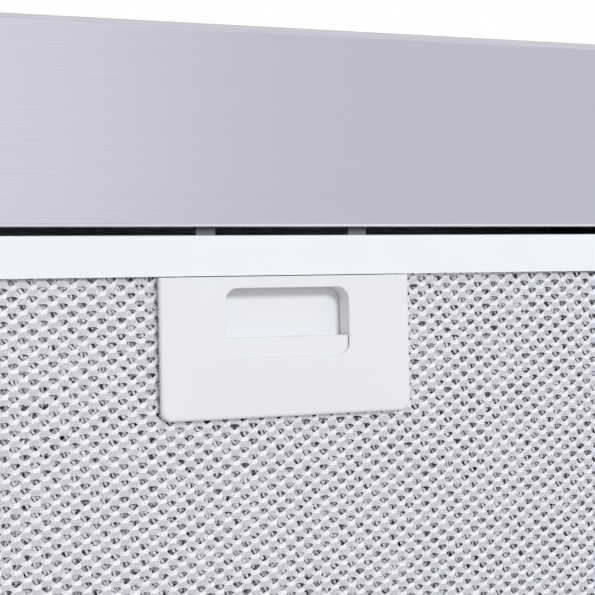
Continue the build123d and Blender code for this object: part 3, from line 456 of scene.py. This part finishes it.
def face_painted_highlight(tri):
    """How much painted highlight a triangle of the cell gets: the bond, the slants beside the hole, the
    flat strand.
    """
    kinds = {k for a, b, k in tri}
    if HOLE_REAR in kinds and kinds & PRESSED_POINTS:
        return BOND_PAINTED_HIGHLIGHT
    if kinds & BOND_POINTS and kinds & HOLE_REAR_HALF:
        return SLANT_PAINTED_HIGHLIGHT
    return 0.0


def mesh_piece(name, place, faces, painted_highlight_and_tone, body, slot):
    """A piece of bare mesh from its points and faces, with a level of painted highlight and tone for each
    face.
    """
    used, numbers = np.unique(faces, return_inverse=True)
    mesh = bpy.data.meshes.new(name)
    mesh.from_pydata(place[used].tolist(), [], numbers.reshape(faces.shape).tolist())
    mesh.attributes.new("highlight_and_tone", "FLOAT", "FACE").data.foreach_set("value", painted_highlight_and_tone.tolist())
    piece = bpy.data.objects.new(name, mesh)
    bpy.context.scene.collection.objects.link(piece)
    mesh.materials.append(FINISHES[slot])
    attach(piece, body)
    return piece


def node_box_mm(name):
    low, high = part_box(name)
    return [c / MM for c in low], [c / MM for c in high]


def notch_of(side):
    """The mesh's cut-out round the latch: left, right and rear edges, in mm."""
    low, high = node_box_mm(f"latch_cover_{side}")
    return low[0] - NOTCH_MARGIN, high[0] + NOTCH_MARGIN, high[1] + NOTCH_MARGIN


def expanded_layer(side, layer, number):
    """The face or back layer: the open cell repeated over the node's own rectangle."""
    node = f"{layer}_mesh_{side}"
    scale, rise, seed = EXPANDED_LAYERS[layer]
    low, high = node_box_mm(node)
    plate_front = node_box_mm(f"latch_plate_{side}")[0][1]
    frame_low, frame_high = node_box_mm(f"filter_frame_{side}")
    middle_x = (frame_low[0] + frame_high[0]) / 2
    steps = [[c * scale for c in step] for step in (STEP_P, STEP_Q)]
    points = [(u * scale, v * scale, frame_low[2] + w + rise) for u, v, w in HOLE_EDGE + BOND]
    origin = (middle_x + HOLE_FROM_LATCH[0], plate_front + HOLE_FROM_LATCH[1])
    triangles = cell_triangles(points, len(HOLE_EDGE), steps)
    place, faces, painted_highlight_and_tone = lattice_mesh(points, triangles, steps, origin, low, high, notch_of(side),
                                      MESH_JITTER, seed + number)
    piece = mesh_piece(f"expanded_{layer}_{side}", place, faces, painted_highlight_and_tone, f"filter_{side}", "mesh_aluminium")
    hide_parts(node)


# ================================================================================= inner layers
def strand_layer(side, seed):
    """Crumpled inner mesh: crossing families of short slanted strands."""
    rng = np.random.default_rng(seed)
    node = f"core_mesh_{side}"
    low, high = node_box_mm(node)
    floor = node_box_mm(f"filter_frame_{side}")[0][2]
    notch = notch_of(side)
    within = np.array(low[:2]) + STRAND_EDGE, np.array(high[:2]) - STRAND_EDGE
    corners = []
    middle = np.array([(low[0] + high[0]) / 2, (low[1] + high[1]) / 2])
    reach = math.hypot(high[0] - low[0], high[1] - low[1]) / 2
    for height, angle in STRAND_LAYERS:
        along = np.array([math.cos(math.radians(angle)), math.sin(math.radians(angle))])
        across = np.array([-along[1], along[0]])
        rows = np.arange(-reach, reach, STRAND_PITCH)
        steps = np.arange(-reach, reach, STRAND_STEP)
        r, t = (g.ravel() for g in np.meshgrid(rows, steps, indexing="ij"))
        r = r + rng.normal(0.0, STRAND_SCATTER[0], r.shape)
        t = t + rng.normal(0.0, STRAND_SCATTER[1], t.shape)
        centre = middle + r[:, None] * across + t[:, None] * along
        inside = np.all((centre > within[0]) & (centre < within[1]), axis=1)
        x, y = centre[:, 0], centre[:, 1]
        beside = (x > notch[0] - STRAND_EDGE) & (x < notch[1] + STRAND_EDGE)
        inside &= ~(beside & (y < notch[2] + STRAND_EDGE))
        centre = centre[inside]
        count = len(centre)
        turn = np.radians(rng.normal(0.0, STRAND_TURN, count))
        direction = np.cos(turn)[:, None] * along + np.sin(turn)[:, None] * across
        side_way = np.stack([-direction[:, 1], direction[:, 0]], axis=1)
        half_length = STRAND_STEP * rng.uniform(*STRAND_LENGTH_SHARES, count)
        half_width = STRAND_WIDTH / 2 * rng.uniform(*STRAND_WIDTH_SHARES, count)
        lift = floor + height + rng.normal(0.0, STRAND_LIFT, count)
        lean = rng.normal(0.0, STRAND_LEAN, count)
        climb = rng.normal(0.0, STRAND_CLIMB, count)
        for end, edge in ((-1, -1), (1, -1), (1, 1), (-1, 1)):
            flat = centre + end * half_length[:, None] * direction + edge * half_width[:, None] * side_way
            corners.append(np.column_stack([flat, lift + edge * lean + end * climb]))
    blocks = [np.stack(corners[i:i + 4], axis=1).reshape(-1, 3) for i in range(0, len(corners), 4)]
    place = np.concatenate(blocks)
    place = np.clip(place, low, high)
    faces = np.arange(len(place)).reshape(-1, 4)
    painted_highlight_and_tone = rng.uniform(*STRAND_TONES, len(faces))
    piece = mesh_piece(f"strands_core_{side}", place * MM, faces, painted_highlight_and_tone, f"filter_{side}", "mesh_aluminium")
    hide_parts(node)


# ================================================================================= latch spring
def latch_spring(side):
    """Smooth compression spring in the latch's pocket."""
    node = f"latch_spring_{side}"
    low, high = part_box(node)
    middle = (low + high) / 2
    wire = SPRING_WIRE * MM
    radius = (high.x - low.x) / 2 - wire
    start, end = low.y + wire, high.y - wire
    curve = bpy.data.curves.new(f"coil_{side}", "CURVE")
    curve.dimensions = "3D"
    curve.bevel_depth = wire
    curve.bevel_resolution = 3
    curve.use_fill_caps = True
    spline = curve.splines.new("POLY")
    spline.points.add(SPRING_POINTS)
    for i, point in enumerate(spline.points):
        share = i / SPRING_POINTS
        turn = 2 * math.pi * SPRING_TURNS * share
        # the end turns lie flat, as on a closed-end spring
        rise = min(max((share - SPRING_FLAT) / (1 - 2 * SPRING_FLAT), 0.0), 1.0)
        point.co = (middle.x + radius * math.cos(turn), start + (end - start) * rise,
                    middle.z + radius * math.sin(turn), 1.0)
    line = bpy.data.objects.new(f"coil_{side}", curve)
    mesh = bpy.data.meshes.new_from_object(line)
    bpy.data.objects.remove(line)
    mesh.materials.clear()
    mesh.materials.append(FINISHES["spring_steel"])
    mesh.shade_smooth()
    piece = bpy.data.objects.new(f"wire_spring_{side}", mesh)
    bpy.context.scene.collection.objects.link(piece)
    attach(piece, f"filter_{side}")
    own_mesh(piece)
    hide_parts(node)


# =================================================================================== the stage
def add_camera():
    """Camera below the right filter's latch. Returns the latch's place, which lamps are set from."""
    low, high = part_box("filter_frame_right")
    plate_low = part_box("latch_plate_right")[0]
    data = bpy.data.cameras.new("camera")
    data.lens = LENS
    data.sensor_width = SENSOR
    data.clip_start = 0.01
    camera = bpy.data.objects.new("camera", data)
    bpy.context.scene.collection.objects.link(camera)
    latch = Vector(((low.x + high.x) / 2, plate_low.y, low.z))
    turn = (
        Matrix.Rotation(math.pi, 4, "X")
        @ Matrix.Rotation(math.radians(-CAMERA_YAW), 4, "Y")
        @ Matrix.Rotation(math.radians(-CAMERA_PITCH), 4, "X")
        @ Matrix.Rotation(math.radians(CAMERA_ROLL), 4, "Z")
    )
    camera.matrix_world = Matrix.Translation(latch + CAMERA_FROM_LATCH) @ turn
    bpy.context.scene.camera = camera
    return latch


def seen_directly(tree):
    """1 for camera, glossy and transmission rays."""
    path = tree.nodes.new("ShaderNodeLightPath")
    total = path.outputs["Is Camera Ray"]
    for extra in ("Is Glossy Ray", "Is Transmission Ray"):
        add = tree.nodes.new("ShaderNodeMath")
        add.operation = "ADD"
        add.use_clamp = True
        tree.links.new(total, add.inputs[0])
        tree.links.new(path.outputs[extra], add.inputs[1])
        total = add.outputs[0]
    return total


def add_world():
    """Dim even light on the object, and plain white where it is seen directly or reflected."""
    world = bpy.data.worlds.new("studio")
    bpy.context.scene.world = world
    world.use_nodes = True
    tree = world.node_tree
    tree.nodes.clear()
    soft = tree.nodes.new("ShaderNodeBackground")
    soft.inputs["Color"].default_value = (*WORLD_COLOR, 1.0)
    soft.inputs["Strength"].default_value = WORLD_LEVEL
    white = tree.nodes.new("ShaderNodeBackground")
    white.inputs["Color"].default_value = (*WHITE, 1.0)
    white.inputs["Strength"].default_value = 1.0
    mix = tree.nodes.new("ShaderNodeMixShader")
    output = tree.nodes.new("ShaderNodeOutputWorld")
    tree.links.new(seen_directly(tree), mix.inputs["Fac"])
    tree.links.new(soft.outputs[0], mix.inputs[1])
    tree.links.new(white.outputs[0], mix.inputs[2])
    tree.links.new(mix.outputs[0], output.inputs["Surface"])


def add_floor():
    """Pale floor that keeps a shadow under the hood and fades to the white of the world further out."""
    mesh = bpy.data.meshes.new("floor")
    size = FLOOR_HALF_SIZE
    mesh.from_pydata([(-size, -size, FLOOR_Z), (size, -size, FLOOR_Z), (size, size, FLOOR_Z),
                      (-size, size, FLOOR_Z)], [], [(0, 1, 2, 3)])
    floor = bpy.data.objects.new("floor", mesh)
    bpy.context.scene.collection.objects.link(floor)
    finish = Finish("pale_floor", FLOOR_COLOR, roughness=0.8)
    tree = finish.tree
    distance = tree.nodes.new("ShaderNodeVectorMath")
    distance.operation = "LENGTH"
    tree.links.new(finish.place, distance.inputs[0])
    fade = finish.spread(distance.outputs["Value"], 0.0, 1.0, *FLOOR_FADE)
    path = tree.nodes.new("ShaderNodeLightPath")
    share = finish.spread(fade, FLOOR_PALE, 1.0, 0.0, 1.0)
    pale = tree.nodes.new("ShaderNodeMath")
    pale.operation = "MULTIPLY_ADD"
    tree.links.new(path.outputs["Is Camera Ray"], pale.inputs[0])
    tree.links.new(share, pale.inputs[1])
    tree.links.new(path.outputs["Is Glossy Ray"], pale.inputs[2])
    add = tree.nodes.new("ShaderNodeMath")
    add.operation = "ADD"
    add.use_clamp = True
    tree.links.new(pale.outputs[0], add.inputs[0])
    tree.links.new(path.outputs["Is Transmission Ray"], add.inputs[1])
    tint = tree.nodes.new("ShaderNodeValToRGB")
    tint.color_ramp.elements[0].color = (*FLOOR_TINT, 1.0)
    tint.color_ramp.elements[1].color = (*WHITE, 1.0)
    tree.links.new(fade, tint.inputs["Fac"])
    white = tree.nodes.new("ShaderNodeEmission")
    tree.links.new(tint.outputs["Color"], white.inputs["Color"])
    mix = tree.nodes.new("ShaderNodeMixShader")
    tree.links.new(add.outputs[0], mix.inputs["Fac"])
    tree.links.new(finish.shader.outputs[0], mix.inputs[1])
    tree.links.new(white.outputs[0], mix.inputs[2])
    # a camera under the floor looks through it, up at the hood
    below = tree.nodes.new("ShaderNodeMixShader")
    tree.links.new(tree.nodes.new("ShaderNodeNewGeometry").outputs["Backfacing"], below.inputs["Fac"])
    tree.links.new(mix.outputs[0], below.inputs[1])
    tree.links.new(tree.nodes.new("ShaderNodeBsdfTransparent").outputs[0], below.inputs[2])
    tree.links.new(below.outputs[0], tree.nodes["Material Output"].inputs["Surface"])
    mesh.materials.append(finish.material)


def add_lamp(name, place, target, size, power, color=WHITE):
    """A round area lamp, not seen by the camera."""
    data = bpy.data.lights.new(name, "AREA")
    data.shape = "DISK"
    data.size = size
    data.energy = power
    data.color = color
    lamp = bpy.data.objects.new(name, data)
    bpy.context.scene.collection.objects.link(lamp)
    lamp.location = place
    lamp.rotation_euler = (target - place).to_track_quat("-Z", "Y").to_euler()
    lamp.visible_camera = False
    return lamp


def add_lamps(latch):
    """Below the hood a key lamp and, for reflections alone, a softbox; above it a wide lamp."""
    key_place = latch + KEY_DIRECTION.normalized() * KEY_DISTANCE
    key = add_lamp("key", key_place, latch, KEY_SIZE, KEY_POWER, KEY_COLOR)
    key.visible_glossy = False
    place = latch + SOFTBOX_FROM_LATCH
    power = SOFTBOX_LEVEL * math.pi ** 2 * (SOFTBOX_SIZE / 2) ** 2
    softbox = add_lamp("softbox", place, place + Vector((0, 0, 1)), SOFTBOX_SIZE, power)
    softbox.visible_diffuse = False
    overhead = add_lamp("overhead", OVERHEAD_PLACE, OVERHEAD_TARGET, OVERHEAD_SIZE, OVERHEAD_POWER)
    overhead.visible_glossy = False


def main():
    bpy.context.scene.view_settings.view_transform = "Standard"
    latch = add_camera()
    add_world()
    add_floor()
    add_lamps(latch)
    dress_nodes()
    for number, side in enumerate(SIDES):
        expanded_layer(side, "face", number)
        strand_layer(side, STRAND_SEED + number)
        expanded_layer(side, "back", number)
        latch_spring(side)


main()
